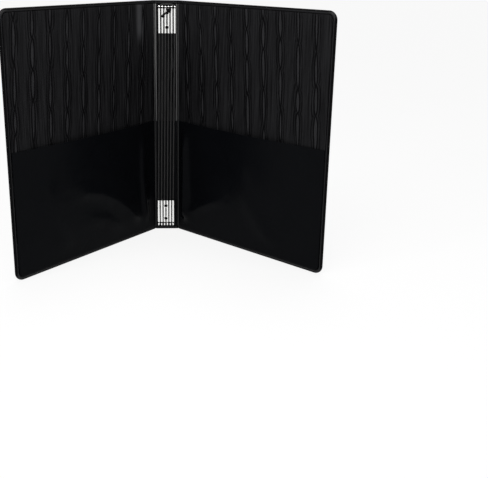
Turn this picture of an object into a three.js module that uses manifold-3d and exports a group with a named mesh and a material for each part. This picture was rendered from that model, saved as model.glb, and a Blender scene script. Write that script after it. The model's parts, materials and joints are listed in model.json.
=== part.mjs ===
// A music folder for singers: two stiff covers and a spine in black leatherette, standing open in a V
// on its bottom edge. Millimetres, +Z up, the inside faces -Y. The spine's inner face is the plane y = 0
// of the spine's own frame, and each cover turns about the vertical fold at its side of the spine.

import * as THREE from "three";
import { mergeVertices } from "three/addons/utils/BufferGeometryUtils.js";
import Module from "manifold-3d";

const wasm = await Module();
wasm.setup();

// Overall sizes
const HEIGHT = 304.8;
const COVER_WIDTH = 230;
const SPINE_WIDTH = 32;
const CORNER_RADIUS = 10.3;
const LEFT_OPENING = THREE.MathUtils.degToRad(48);
const RIGHT_OPENING = THREE.MathUtils.degToRad(43);

// Layers, from the inside out
const LINING_THICKNESS = 0.5;
const BOARD_THICKNESS = 2.2;
const SKIN_THICKNESS = 0.9;
const PLY_GAP = 0.3;
const RIM_RADIUS = 2.2;

// Folds between the spine and the covers
const FOLD_RADIUS = 0.9;
const STRIP_THICKNESS = 1.5;
const SHOULDER_WIDTH = 1.05;
const FOLD_CLEARANCE = 0.5;

// Pockets
const POCKET_THICKNESS = 0.5;
const POCKET_TOP = 148;
const POCKET_MOUTH = 8.2;
const POCKET_SEAM = 4.5;
const POCKET_SETBACK = 0.4;
const POCKET_FULLNESS = 0.8;
const POCKET_COLUMNS = 24;
const POCKET_ROWS = 9;

// String plates, the two metal strips that hold the cord
const RIB_COUNT = 6;
const RIB_PITCH = 3.9;
const SHEET_METAL = 0.4;
const CORD_RADIUS = 0.8;
const CORD_CLEARANCE = 0.35;
const RIB_LENGTH = 31;
const TOP_PLATE_INSET = 10;
const BOTTOM_PLATE_INSET = 10.2;
const TOP_PLATE_OFFSET = 1.1;
const BOTTOM_PLATE_OFFSET = -1.4;
const PLATE_SEAT = 0.1;
const HOOK_WIDTH = 2;
const HOOK_ROOT = 1;
const HOOK_REACH = 1.6;
const HOOK_CURL_RADIUS = 1.5;
const HOOK_CURL = THREE.MathUtils.degToRad(80);

// Rivets
const RIVET_SPACING = 18;
const RIVET_INSET = 7.3;
const RIVET_SHANK_RADIUS = 0.85;
const RIVET_BORE_RADIUS = 0.5;
const RIVET_RING_RADIUS = 2.2;
const RIVET_RING_THICKNESS = 0.4;
const RIVET_CAP_RADIUS = 3.5;
const RIVET_CAP_HEIGHT = 1.1;
const RIVET_CROWN_RADIUS = 2.45;
const RIVET_CROWN_HEIGHT = 0.99;

// Cord ends
const CORD_RUN_OUT = 5;
const KNOT_RADIUS = 1.5;
const KNOT_INSET = 3;
const KNOT_OPENING = 0.2;
const TAIL_RADIUS = 0.6;
const TAIL_DROP = 6.5;

// How finely round forms are divided
const CORNER_STEPS = 6;
const BEAD_SIDES = 12;
const HOLE_SIDES = 12;
const ARCH_STEPS = 8;
const HOOK_STEPS = 5;
const RIVET_SIDES = 16;
const CORD_SIDES = 8;
const TURN_STEPS = 6;
const RUN_STEPS = 3;
const KNOT_SIDES = 12;
const KNOT_RINGS = 8;
const MERGE_DISTANCE = 1e-4;

// Values worked out from the sizes above
const TOP_PLATE_OUTER_END = HEIGHT - TOP_PLATE_INSET;
const BOTTOM_PLATE_OUTER_END = BOTTOM_PLATE_INSET;
const BOARD_FRONT = LINING_THICKNESS + PLY_GAP;
const SKIN_FRONT = BOARD_FRONT + BOARD_THICKNESS + PLY_GAP;
const DEPTH = SKIN_FRONT + SKIN_THICKNESS;
const MID_DEPTH = DEPTH / 2;
const RIM_WIDTH = 2 * RIM_RADIUS;
const PANEL_INSET = RIM_WIDTH + PLY_GAP;
const PANEL_RADIUS = CORNER_RADIUS - PANEL_INSET;
const HALF_SPINE = SPINE_WIDTH / 2;
const STRIP_FRONT = MID_DEPTH - STRIP_THICKNESS / 2;
const STRIP_BACK = MID_DEPTH + STRIP_THICKNESS / 2;
const STRIP_START = FOLD_RADIUS + PLY_GAP;
const PANEL_START = MID_DEPTH + FOLD_CLEARANCE;
const BOARD_START = PANEL_START + PLY_GAP;
const POCKET_BACK = -PLY_GAP;
const POCKET_FRONT = POCKET_BACK - POCKET_THICKNESS;
const POCKET_START = MID_DEPTH - POCKET_FRONT + POCKET_SETBACK;
const ARCH_INNER_RADIUS = CORD_RADIUS + CORD_CLEARANCE;
const ARCH_OUTER_RADIUS = ARCH_INNER_RADIUS + SHEET_METAL;
const CORD_HEIGHT = PLY_GAP + CORD_RADIUS;
const RIB_HEIGHT = CORD_HEIGHT + ARCH_OUTER_RADIUS;
const TOP_SEAT = -PLATE_SEAT;
const BOTTOM_SEAT = POCKET_FRONT - PLATE_SEAT;
const RIVET_HOLE_RADIUS = RIVET_SHANK_RADIUS + PLY_GAP;

// Surfaces
const LEATHERETTE = new THREE.MeshStandardMaterial({ color: 0x17171a, roughness: 0.5 });
const BOARD = new THREE.MeshStandardMaterial({ color: 0x8d8577, roughness: 0.9 });
const MOIRE = new THREE.MeshStandardMaterial({ color: 0x1e1e21, roughness: 0.55 });
const SMOOTH_VINYL = new THREE.MeshStandardMaterial({ color: 0x0d0e12, roughness: 0.3 });
const NICKEL = new THREE.MeshStandardMaterial({ color: 0xd8d8d4, roughness: 0.2, metalness: 1 });
const ELASTIC = new THREE.MeshStandardMaterial({ color: 0x3a3a3a, roughness: 0.7 });

// Solids

function closed(geometry) {
  geometry.deleteAttribute("normal");
  geometry.deleteAttribute("uv");
  return mergeVertices(geometry, MERGE_DISTANCE);
}

function toSolid(geometry) {
  const merged = closed(geometry);
  return new wasm.Manifold(
    new wasm.Mesh({
      numProp: 3,
      vertProperties: new Float32Array(merged.attributes.position.array),
      triVerts: new Uint32Array(merged.index.array),
    }),
  );
}

function toGeometry(solid) {
  const mesh = solid.getMesh();
  const geometry = new THREE.BufferGeometry();
  geometry.setAttribute("position", new THREE.BufferAttribute(mesh.vertProperties, 3));
  geometry.setIndex(new THREE.BufferAttribute(mesh.triVerts, 1));
  return geometry;
}

function join(geometries) {
  return toGeometry(geometries.map(toSolid).reduce((whole, piece) => whole.add(piece)));
}

function cut(geometry, tools) {
  return toGeometry(tools.map(toSolid).reduce((left, tool) => left.subtract(tool), toSolid(geometry)));
}

// The same geometry on the other side of the plane x = 0
function mirrored(geometry) {
  const flipped = closed(geometry.clone()).scale(-1, 1, 1);
  const order = flipped.index.array;
  for (let i = 0; i < order.length; i += 3) {
    [order[i], order[i + 1]] = [order[i + 1], order[i]];
  }
  return flipped;
}

function polygon(corners) {
  return new THREE.Shape(corners.map(([x, y]) => new THREE.Vector2(x, y)));
}

// An outline in x and z, given thickness along y from its front face
function plate(shape, front, thickness) {
  const geometry = new THREE.ExtrudeGeometry(shape, {
    depth: thickness,
    bevelEnabled: false,
    curveSegments: CORNER_STEPS,
  });
  return geometry.rotateX(Math.PI / 2).translate(0, front + thickness, 0);
}

// A plan section in x and y, given height along z
function column(shape, bottom, height) {
  const geometry = new THREE.ExtrudeGeometry(shape, { depth: height, bevelEnabled: false });
  return geometry.translate(0, 0, bottom);
}

// A path that is straight between the points given, with a section at each of them
class Route extends THREE.Curve {
  constructor(points) {
    super();
    this.points = points;
  }

  getPoint(t) {
    const place = t * (this.points.length - 1);
    const before = Math.min(Math.floor(place), this.points.length - 2);
    return this.points[before].clone().lerp(this.points[before + 1], place - before);
  }

  getPointAt(u) {
    return this.getPoint(u);
  }

  getTangentAt(u) {
    return this.getTangent(u, new THREE.Vector3());
  }
}

// A tube of flat-sided section, whose flats lie at the radius given
function tube(points, radius, sides) {
  const step = (2 * Math.PI) / sides;
  const reach = radius / Math.cos(step / 2);
  const section = polygon(
    Array.from({ length: sides }, (_, i) => [
      reach * Math.cos((i + 0.5) * step),
      reach * Math.sin((i + 0.5) * step),
    ]),
  );
  return new THREE.ExtrudeGeometry(section, {
    steps: points.length - 1,
    extrudePath: new Route(points),
  });
}

// Covers, each drawn with its fold at x = 0 and its outer edge towards +x

// A panel outline with square corners at the fold and round ones at the outer edge
function panelShape(start, inset, radius) {
  const end = COVER_WIDTH - inset;
  const top = HEIGHT - inset;
  const shape = new THREE.Shape();
  shape.moveTo(start, inset);
  shape.lineTo(end - radius, inset);
  shape.absarc(end - radius, inset + radius, radius, -Math.PI / 2, 0);
  shape.absarc(end - radius, top - radius, radius, 0, Math.PI / 2);
  shape.lineTo(start, top);
  return shape;
}

// The bead along the bottom, outer and top edges
function coverRim() {
  const radius = CORNER_RADIUS - RIM_RADIUS;
  const outline = panelShape(BOARD_START, RIM_RADIUS, radius);
  const points = outline.getPoints(CORNER_STEPS).map((p) => new THREE.Vector3(p.x, MID_DEPTH, p.y));
  return tube(points, RIM_RADIUS, BEAD_SIDES);
}

// The welded strip beside the fold and the slope where the outer sheet climbs over the board's edge
function skinShoulder() {
  return polygon([
    [STRIP_START, STRIP_FRONT],
    [PANEL_START, STRIP_FRONT],
    [PANEL_START, SKIN_FRONT],
    [BOARD_START + SHOULDER_WIDTH, SKIN_FRONT],
    [BOARD_START + SHOULDER_WIDTH, DEPTH],
    [BOARD_START, DEPTH],
    [STRIP_START, STRIP_BACK],
  ]);
}

function coverSkin() {
  const sheet = plate(
    panelShape(BOARD_START, RIM_RADIUS, CORNER_RADIUS - RIM_RADIUS),
    SKIN_FRONT,
    SKIN_THICKNESS,
  );
  return join([sheet, coverRim(), column(skinShoulder(), 0, HEIGHT)]);
}

function coverBoard() {
  return plate(panelShape(BOARD_START, PANEL_INSET, PANEL_RADIUS), BOARD_FRONT, BOARD_THICKNESS);
}

// The slope where the lining comes down from the board's edge to the welded strip
function liningShoulder() {
  const back = STRIP_FRONT - PLY_GAP;
  const start = MID_DEPTH - back + FOLD_CLEARANCE;
  return polygon([
    [start, back],
    [PANEL_START - PLY_GAP, back],
    [PANEL_START, LINING_THICKNESS],
    [BOARD_START, LINING_THICKNESS],
    [BOARD_START, 0],
    [PANEL_START, 0],
  ]);
}

function coverLining() {
  const sheet = plate(panelShape(PANEL_START, PANEL_INSET, PANEL_RADIUS), 0, LINING_THICKNESS);
  return join([sheet, column(liningShoulder(), PANEL_INSET, HEIGHT - 2 * PANEL_INSET)]);
}

// How far the pocket stands off its seams, from 0 at three sides to the mouth at the top
function pocketRise(along, up) {
  const inner = THREE.MathUtils.clamp(along, 0, 1);
  const rise = THREE.MathUtils.clamp(up, 0, 1);
  return POCKET_MOUTH * Math.sin(Math.PI * inner) * Math.pow(rise, POCKET_FULLNESS);
}

function coverPocket() {
  const width = COVER_WIDTH - PANEL_INSET - POCKET_START;
  const height = POCKET_TOP - PANEL_INSET;
  const sheet = new THREE.BoxGeometry(
    width,
    POCKET_THICKNESS,
    height,
    POCKET_COLUMNS,
    1,
    POCKET_ROWS,
  );
  sheet.translate(POCKET_START + width / 2, (POCKET_BACK + POCKET_FRONT) / 2, PANEL_INSET + height / 2);
  const place = sheet.attributes.position;
  for (let i = 0; i < place.count; i += 1) {
    const along = (place.getX(i) - POCKET_START - POCKET_SEAM) / (width - 2 * POCKET_SEAM);
    const up = (place.getZ(i) - PANEL_INSET - POCKET_SEAM) / (height - POCKET_SEAM);
    place.setY(i, place.getY(i) - pocketRise(along, up));
  }
  return closed(sheet);
}

// Spine

// Holes for the rivets, through every layer between the two depths given
function rivetHoles(centres, front, back) {
  const depth = back - front;
  return centres.map(({ x, z }) => {
    const hole = new THREE.CylinderGeometry(RIVET_HOLE_RADIUS, RIVET_HOLE_RADIUS, depth, HOLE_SIDES);
    return hole.translate(x, (front + back) / 2, z);
  });
}

function rivetCentres(offset, outerEnd, outward) {
  const inner = outerEnd - outward * (RIB_LENGTH - RIVET_INSET);
  return [
    { x: offset, z: inner },
    { x: offset, z: inner + outward * RIVET_SPACING },
  ];
}

const TOP_RIVETS = rivetCentres(TOP_PLATE_OFFSET, TOP_PLATE_OUTER_END, 1);
const BOTTOM_RIVETS = rivetCentres(BOTTOM_PLATE_OFFSET, BOTTOM_PLATE_OUTER_END, -1);
const RIVETS = [...TOP_RIVETS, ...BOTTOM_RIVETS];

function spineRectangle(halfWidth, bottom, top) {
  return polygon([
    [-halfWidth, bottom],
    [halfWidth, bottom],
    [halfWidth, top],
    [-halfWidth, top],
  ]);
}

function spineSkin() {
  const half = HALF_SPINE - BOARD_START;
  const sheet = plate(spineRectangle(half, RIM_RADIUS, HEIGHT - RIM_RADIUS), SKIN_FRONT, SKIN_THICKNESS);
  const rims = [RIM_RADIUS, HEIGHT - RIM_RADIUS].map((z) => {
    const ends = [-half, half].map((x) => new THREE.Vector3(x, MID_DEPTH, z));
    return tube(ends, RIM_RADIUS, BEAD_SIDES);
  });
  const fold = new THREE.CylinderGeometry(FOLD_RADIUS, FOLD_RADIUS, HEIGHT, BEAD_SIDES);
  fold.rotateX(Math.PI / 2).translate(HALF_SPINE, MID_DEPTH, HEIGHT / 2);
  const web = polygon([
    [0, STRIP_FRONT],
    [PANEL_START, STRIP_FRONT],
    [PANEL_START, STRIP_BACK],
    [0, STRIP_BACK],
  ]);
  const edge = [column(skinShoulder(), 0, HEIGHT), column(web, 0, HEIGHT)].map((piece) =>
    mirrored(piece).translate(HALF_SPINE, 0, 0),
  );
  const right = join([fold, ...edge]);
  const whole = join([sheet, ...rims, right, mirrored(right)]);
  return cut(whole, rivetHoles(RIVETS, SKIN_FRONT - PLY_GAP, DEPTH + PLY_GAP));
}

function spineBoard() {
  const shape = spineRectangle(HALF_SPINE - BOARD_START, PANEL_INSET, HEIGHT - PANEL_INSET);
  const board = plate(shape, BOARD_FRONT, BOARD_THICKNESS);
  return cut(board, rivetHoles(RIVETS, 0, SKIN_FRONT));
}

function spineLining() {
  const sheet = plate(
    spineRectangle(HALF_SPINE - PANEL_START, PANEL_INSET, HEIGHT - PANEL_INSET),
    0,
    LINING_THICKNESS,
  );
  const shoulder = column(liningShoulder(), PANEL_INSET, HEIGHT - 2 * PANEL_INSET);
  const left = shoulder.clone().translate(-HALF_SPINE, 0, 0);
  const right = mirrored(shoulder).translate(HALF_SPINE, 0, 0);
  return cut(join([sheet, left, right]), rivetHoles(RIVETS, POCKET_BACK, BOARD_FRONT));
}

function spinePocketStrip() {
  const shape = spineRectangle(HALF_SPINE - POCKET_START, PANEL_INSET, POCKET_TOP);
  const strip = plate(shape, POCKET_FRONT, POCKET_THICKNESS);
  return cut(strip, rivetHoles(BOTTOM_RIVETS, POCKET_FRONT - PLY_GAP, 0));
}

// String plates, drawn with the outer end of the ribs at z = 0, the ribs running down and the back at y = 0

function ribCentre(index) {
  return (index - (RIB_COUNT - 1) / 2) * RIB_PITCH;
}

// One side of the pressed sheet, running over every rib
function ribLine(radius, floor) {
  const points = [];
  for (let rib = 0; rib < RIB_COUNT; rib += 1) {
    const centre = ribCentre(rib);
    points.push([centre - radius, -floor]);
    for (let i = 0; i <= ARCH_STEPS; i += 1) {
      const turn = Math.PI * (1 - i / ARCH_STEPS);
      points.push([centre + radius * Math.cos(turn), -CORD_HEIGHT - radius * Math.sin(turn)]);
    }
    points.push([centre + radius, -floor]);
  }
  return points;
}

function hook(centre) {
  const under = RIB_HEIGHT - SHEET_METAL;
  const bend = under + HOOK_CURL_RADIUS;
  const shape = new THREE.Shape();
  shape.moveTo(-HOOK_ROOT, under);
  shape.lineTo(HOOK_REACH, under);
  shape.absarc(HOOK_REACH, bend, HOOK_CURL_RADIUS, -Math.PI / 2, -Math.PI / 2 + HOOK_CURL);
  shape.absarc(
    HOOK_REACH,
    bend,
    HOOK_CURL_RADIUS - SHEET_METAL,
    -Math.PI / 2 + HOOK_CURL,
    -Math.PI / 2,
    true,
  );
  shape.lineTo(-HOOK_ROOT, RIB_HEIGHT);
  const strip = new THREE.ExtrudeGeometry(shape, {
    depth: HOOK_WIDTH,
    bevelEnabled: false,
    curveSegments: HOOK_STEPS,
  });
  const turn = new THREE.Matrix4().makeBasis(
    new THREE.Vector3(0, 0, 1),
    new THREE.Vector3(0, -1, 0),
    new THREE.Vector3(1, 0, 0),
  );
  return strip.applyMatrix4(turn).translate(centre - HOOK_WIDTH / 2, 0, 0);
}

function stringPlate() {
  const front = ribLine(ARCH_OUTER_RADIUS, SHEET_METAL);
  const back = ribLine(ARCH_INNER_RADIUS, 0).reverse();
  const ribs = column(polygon([...front, ...back]), -RIB_LENGTH, RIB_LENGTH);
  const hooks = Array.from({ length: RIB_COUNT }, (_, rib) => hook(ribCentre(rib)));
  const holes = rivetCentres(0, 0, 1);
  return cut(join([ribs, ...hooks]), rivetHoles(holes, -RIB_HEIGHT - PLY_GAP, PLY_GAP));
}

// A tubular rivet about the y axis: a domed cap outside, a rolled ring on the ribs inside
function rivet(seat) {
  const ringBack = seat - RIB_HEIGHT - PLATE_SEAT;
  const ringFront = ringBack - RIVET_RING_THICKNESS;
  const capFace = DEPTH + PLATE_SEAT;
  const capEdge = capFace + RIVET_CAP_HEIGHT / 2;
  const profile = [
    [0, capFace],
    [RIVET_BORE_RADIUS, capFace],
    [RIVET_BORE_RADIUS, ringBack],
    [RIVET_SHANK_RADIUS + RIVET_BORE_RADIUS / 2, ringFront],
    [RIVET_RING_RADIUS - RIVET_RING_THICKNESS / 2, ringFront],
    [RIVET_RING_RADIUS, (ringFront + ringBack) / 2],
    [RIVET_RING_RADIUS - RIVET_RING_THICKNESS / 2, ringBack],
    [RIVET_SHANK_RADIUS, ringBack],
    [RIVET_SHANK_RADIUS, capFace],
    [RIVET_CAP_RADIUS, capFace],
    [RIVET_CAP_RADIUS, capEdge],
    [RIVET_CROWN_RADIUS, capFace + RIVET_CROWN_HEIGHT],
    [0, capFace + RIVET_CAP_HEIGHT],
  ];
  const points = profile.map(([r, y]) => new THREE.Vector2(r, y));
  return closed(new THREE.LatheGeometry(points, RIVET_SIDES));
}

// The elastic cord: one ring through every rib of both plates, its ends knotted at the top plate

// A turn from one rib to another beyond the plate's end, as points from the first side to the second
function cordTurn(from, to, base, outward, y) {
  const centre = (from + to) / 2;
  const radius = Math.abs(to - from) / 2;
  const sense = Math.sign(to - from);
  return Array.from({ length: TURN_STEPS + 1 }, (_, i) => {
    const angle = Math.PI * (1 - i / TURN_STEPS);
    return new THREE.Vector3(
      centre + sense * radius * Math.cos(angle),
      y,
      base + outward * radius * Math.sin(angle),
    );
  });
}

// The run across the top, from the last rib back to the first, with a quarter turn at each side
function cordRun(from, to, base, y) {
  const bend = CORD_RUN_OUT - PLY_GAP;
  const inward = Math.sign(to - from) * bend;
  const quarter = (x, sense) =>
    Array.from({ length: RUN_STEPS + 1 }, (_, i) => {
      const angle = (Math.PI / 2) * (i / RUN_STEPS);
      return new THREE.Vector3(x + sense * (1 - Math.cos(angle)), y, base + bend * Math.sin(angle));
    });
  return [...quarter(from, inward), ...quarter(to, -inward).reverse()];
}

function elasticCord() {
  const topY = TOP_SEAT - CORD_HEIGHT;
  const bottomY = BOTTOM_SEAT - CORD_HEIGHT;
  const topBase = TOP_PLATE_OUTER_END + PLY_GAP;
  const bottomBase = BOTTOM_PLATE_OUTER_END - PLY_GAP;
  const topInner = TOP_PLATE_OUTER_END - RIB_LENGTH;
  const bottomInner = BOTTOM_PLATE_OUTER_END + RIB_LENGTH;
  const topX = (rib) => TOP_PLATE_OFFSET + ribCentre(rib);
  const bottomX = (rib) => BOTTOM_PLATE_OFFSET + ribCentre(rib);
  const strand = (rib) => [
    new THREE.Vector3(topX(rib), topY, topInner),
    new THREE.Vector3(bottomX(rib), bottomY, bottomInner),
  ];
  const up = (rib) => strand(rib).reverse();
  const topTurn = (from, to) => cordTurn(topX(from), topX(to), topBase, 1, topY);
  const bottomTurn = (from, to) => cordTurn(bottomX(from), bottomX(to), bottomBase, -1, bottomY);
  const knotted = topTurn(3, 4);
  const middle = (knotted.length - 1) / 2;
  const tip = knotted[middle];
  const ring = [
    tip.clone().lerp(knotted[middle + 1], KNOT_OPENING),
    ...knotted.slice(middle + 1),
    ...strand(4),
    ...bottomTurn(4, 5),
    ...up(5),
    ...cordRun(topX(5), topX(0), topBase, topY),
    ...strand(0),
    ...bottomTurn(0, 1),
    ...up(1),
    ...topTurn(1, 2),
    ...strand(2),
    ...bottomTurn(2, 3),
    ...up(3),
    ...knotted.slice(0, middle),
    tip.clone().lerp(knotted[middle - 1], KNOT_OPENING),
  ];
  const over = TOP_SEAT - RIB_HEIGHT - PLATE_SEAT;
  const knotY = over - KNOT_RADIUS;
  const knotZ = TOP_PLATE_OUTER_END - KNOT_INSET;
  const stem = [
    new THREE.Vector3(tip.x, topY + CORD_RADIUS / 2, tip.z),
    new THREE.Vector3(tip.x, knotY, tip.z),
    new THREE.Vector3(tip.x, knotY, knotZ),
  ];
  const knot = new THREE.SphereGeometry(KNOT_RADIUS, KNOT_SIDES, KNOT_RINGS);
  knot.translate(tip.x, knotY, knotZ);
  const tailY = over - RIVET_RING_THICKNESS - PLATE_SEAT - TAIL_RADIUS;
  const tail = [
    new THREE.Vector3(tip.x, tailY, knotZ),
    new THREE.Vector3(topX(2), tailY, knotZ - TAIL_DROP / 2),
    new THREE.Vector3((topX(0) + topX(1)) / 2, tailY, knotZ - TAIL_DROP),
  ];
  return join([
    tube(ring, CORD_RADIUS, CORD_SIDES),
    tube(stem, CORD_RADIUS, CORD_SIDES),
    knot,
    tube(tail, TAIL_RADIUS, CORD_SIDES),
  ]);
}

// The parts, each in its own mesh

function part(name, geometry, material) {
  const mesh = new THREE.Mesh(geometry, material);
  mesh.name = name;
  return mesh;
}

function cover(name, side, opening) {
  const group = new THREE.Group();
  const facing = (geometry) => (side > 0 ? geometry : mirrored(geometry));
  group.add(
    part(`${name}_skin`, facing(coverSkin()), LEATHERETTE),
    part(`${name}_board`, facing(coverBoard()), BOARD),
    part(`${name}_lining`, facing(coverLining()), MOIRE),
    part(`${name}_pocket`, facing(coverPocket()), SMOOTH_VINYL),
  );
  group.children.forEach((mesh) => mesh.position.set(0, -MID_DEPTH, 0));
  group.position.set(side * HALF_SPINE, MID_DEPTH, 0);
  group.rotation.z = -side * opening;
  return group;
}

function spine() {
  const group = new THREE.Group();
  group.add(
    part("spine_skin", spineSkin(), LEATHERETTE),
    part("spine_board", spineBoard(), BOARD),
    part("spine_lining", spineLining(), MOIRE),
    part("spine_pocket_strip", spinePocketStrip(), SMOOTH_VINYL),
  );
  const upper = part("top_string_plate", stringPlate(), NICKEL);
  upper.position.set(TOP_PLATE_OFFSET, TOP_SEAT, TOP_PLATE_OUTER_END);
  const lower = part("bottom_string_plate", stringPlate(), NICKEL);
  lower.position.set(BOTTOM_PLATE_OFFSET, BOTTOM_SEAT, BOTTOM_PLATE_OUTER_END);
  lower.rotation.y = Math.PI;
  group.add(upper, lower);
  const seats = [TOP_SEAT, TOP_SEAT, BOTTOM_SEAT, BOTTOM_SEAT];
  RIVETS.forEach(({ x, z }, i) => {
    const pin = part(`rivet_${i + 1}`, rivet(seats[i]), NICKEL);
    pin.position.set(x, 0, z);
    group.add(pin);
  });
  group.add(part("elastic_cord", elasticCord(), ELASTIC));
  return group;
}

const folder = new THREE.Group();
folder.add(spine(), cover("left_cover", -1, LEFT_OPENING), cover("right_cover", 1, RIGHT_OPENING));

// The origin is below the middle of the whole folder, on the surface that it stands on
folder.updateMatrixWorld(true);
const middle = new THREE.Box3().setFromObject(folder, true).getCenter(new THREE.Vector3());
folder.position.set(-middle.x, -middle.y, 0);
folder.updateMatrixWorld(true);

export default folder;
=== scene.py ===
# A music folder for singers, standing open: black leatherette covers and spine, moire lining, a smooth
# vinyl pocket in each cover, two nickel string plates and an elastic cord. Metres, +Z up.
# Flat places are given as s, outward from the middle of the spine, depth, behind the face of the
# lining, and z. The sheets are drawn flat and then bent at the folds.

import json
import math
from functools import partial

import bmesh
import bpy
import numpy as np
from mathutils import Matrix, Vector


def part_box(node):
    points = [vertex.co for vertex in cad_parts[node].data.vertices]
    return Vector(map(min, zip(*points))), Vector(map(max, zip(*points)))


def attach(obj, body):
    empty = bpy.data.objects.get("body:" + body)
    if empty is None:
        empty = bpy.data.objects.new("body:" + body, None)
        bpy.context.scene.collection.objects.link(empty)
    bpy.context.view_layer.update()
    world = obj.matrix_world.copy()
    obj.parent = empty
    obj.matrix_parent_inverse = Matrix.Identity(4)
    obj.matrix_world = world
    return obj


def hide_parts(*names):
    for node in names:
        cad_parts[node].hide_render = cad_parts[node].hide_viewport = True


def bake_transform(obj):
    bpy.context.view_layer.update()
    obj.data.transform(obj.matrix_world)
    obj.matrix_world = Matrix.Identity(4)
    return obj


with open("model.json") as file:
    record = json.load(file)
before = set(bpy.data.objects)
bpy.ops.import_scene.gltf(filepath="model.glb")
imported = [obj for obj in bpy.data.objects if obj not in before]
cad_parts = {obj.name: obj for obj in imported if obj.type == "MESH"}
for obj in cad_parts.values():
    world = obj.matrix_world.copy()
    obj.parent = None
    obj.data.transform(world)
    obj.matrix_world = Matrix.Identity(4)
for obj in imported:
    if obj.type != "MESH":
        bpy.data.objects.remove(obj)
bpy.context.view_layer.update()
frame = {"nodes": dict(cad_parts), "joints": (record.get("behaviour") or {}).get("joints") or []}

# Places that the frame gives
JOINTS = {joint["name"]: joint for joint in frame["joints"]}
LEFT, RIGHT = -1, 1
SIDE_NAMES = {LEFT: "left", RIGHT: "right"}
FOLDS = {side: JOINTS[f"{name}_fold"] for side, name in SIDE_NAMES.items()}
SPINE_MIDDLE = (Vector(FOLDS[LEFT]["pos_m"]) + Vector(FOLDS[RIGHT]["pos_m"])) / 2
HALF_SPINE = (FOLDS[RIGHT]["pos_m"][0] - FOLDS[LEFT]["pos_m"][0]) / 2
OPENING = {side: math.radians(-joint["range_deg"][0]) for side, joint in FOLDS.items()}
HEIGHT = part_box("left_cover_skin")[1].z

# Covers and their layers
COVER_WIDTH = 0.230
CORNER_RADIUS = 0.0103
RIM_RADIUS = 0.0022
PANEL_INSET = 0.0044
PANEL_RADIUS = 0.0057
DEPTH = 0.0042
MID_DEPTH = DEPTH / 2
SKIN_FRONT = 0.0033
LINING_THICKNESS = 0.0005
COVER_END = HALF_SPINE + COVER_WIDTH
PANEL_END = COVER_END - PANEL_INSET

# Folds
FOLD_PATCH = 0.005
FOLD_START = HALF_SPINE - FOLD_PATCH
FOLD_END = HALF_SPINE + FOLD_PATCH
FOLD_SOFTNESS = 0.0025
POCKET_FOLD_SOFTNESS = 0.0045
GROOVE_SQUEEZE = 0.64
GROOVE_FLAT = 0.0008
GROOVE_EDGE = 0.0023

# Pockets
POCKET_TOP = 0.1512
POCKET_FRONT = -0.0008
POCKET_BACK = -0.0003
POCKET_MOUTH = 0.0050
POCKET_SEAM = 0.0045
POCKET_START = 0.0033
POCKET_FULLNESS = 0.8
POCKET_SQUEEZE = 0.3

# String plates, rivets and cord
RIB_COUNT = 6
RIB_PITCH = 0.0039
SHEET_METAL = 0.0004
ARCH_INNER = 0.0013
ARCH_OUTER = 0.0017
ARCH_SQUARENESS = 0.8
CORD_RADIUS = 0.0008
CORD_HEIGHT = 0.0011
RIB_HEIGHT = CORD_HEIGHT + ARCH_OUTER
RIB_LENGTH = 0.0306
SEAT_GAP = 0.0001
TOP_PLATE = {"offset": 0.0011, "end": HEIGHT - 0.0098, "outward": 1, "seat": -SEAT_GAP, "tab": 0.0036}
BOTTOM_PLATE = {
    "offset": -0.0014,
    "end": 0.0114,
    "outward": -1,
    "seat": POCKET_FRONT - SEAT_GAP,
    "tab": 0.0054,
}
RIVET_SPACING = 0.018
RIVET_INSET = 0.0073
RIVET_BORE = 0.00195
RIVET_SHANK = 0.00205
RIVET_RING = 0.0023
VALLEY_TOP = 0.0024

# Colours in linear light, each as its darkest and its lightest
LEATHER_COLOURS = ((0.0042, 0.0042, 0.0050), (0.0082, 0.0082, 0.0092))
# Painted shade: the darker colour of the outer side of the rim's bead
EDGE_SHADE_COLOURS = ((0.0012, 0.0012, 0.0014), (0.0022, 0.0022, 0.0025))
MOIRE_COLOURS = ((0.0009, 0.0009, 0.0012), (0.0471, 0.0471, 0.0504))
# Painted highlight: the hinge strip's lightest colour stands for the light its roll catches
HINGE_AND_HIGHLIGHT_COLOURS = ((0.0075, 0.0075, 0.0080), (0.150, 0.150, 0.148))
VINYL_COLOURS = ((0.0022, 0.0025, 0.0032), (0.0030, 0.0033, 0.0041))
NICKEL_COLOURS = ((0.92, 0.92, 0.91), (0.98, 0.98, 0.965))
# Painted shade: the dark colours between the ribs and inside a rivet's bore
VALLEY_SHADE_COLOURS = ((0.008, 0.008, 0.008), (0.032, 0.032, 0.031))
BORE_SHADE_COLOURS = ((0.003, 0.003, 0.003), (0.009, 0.009, 0.008))
ELASTIC_COLOURS = ((0.004, 0.004, 0.004), (0.036, 0.036, 0.036))
# Painted shade: a darker copy of the elastic's colours for the knot and its tail
KNOT_SHADE_COLOURS = ((0.004, 0.004, 0.004), (0.006, 0.006, 0.006))
BOARD_COLOURS = ((0.19, 0.165, 0.13), (0.31, 0.28, 0.225))
FLOOR_COLOURS = ((0.90, 0.90, 0.90), (0.93, 0.93, 0.93))


# Camera, placed as the photograph was taken. Lengths in pixels are in its frame.

PHOTO_WIDTH = 488
PHOTO_HEIGHT = 478
FOCAL_PIXELS = 739.56
PRINCIPAL_POINT = (211, 177)
SENSOR_WIDTH = 36
CAMERA_PLACE = Vector((0.01389, -0.95008, 0.3611))
CAMERA_YAW = math.radians(2.732)
CAMERA_PITCH = math.radians(16.796)
CAMERA_ROLL = math.radians(0.758)


def add_object(name, data):
    item = bpy.data.objects.new(name, data)
    bpy.context.scene.collection.objects.link(item)
    return item


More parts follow.
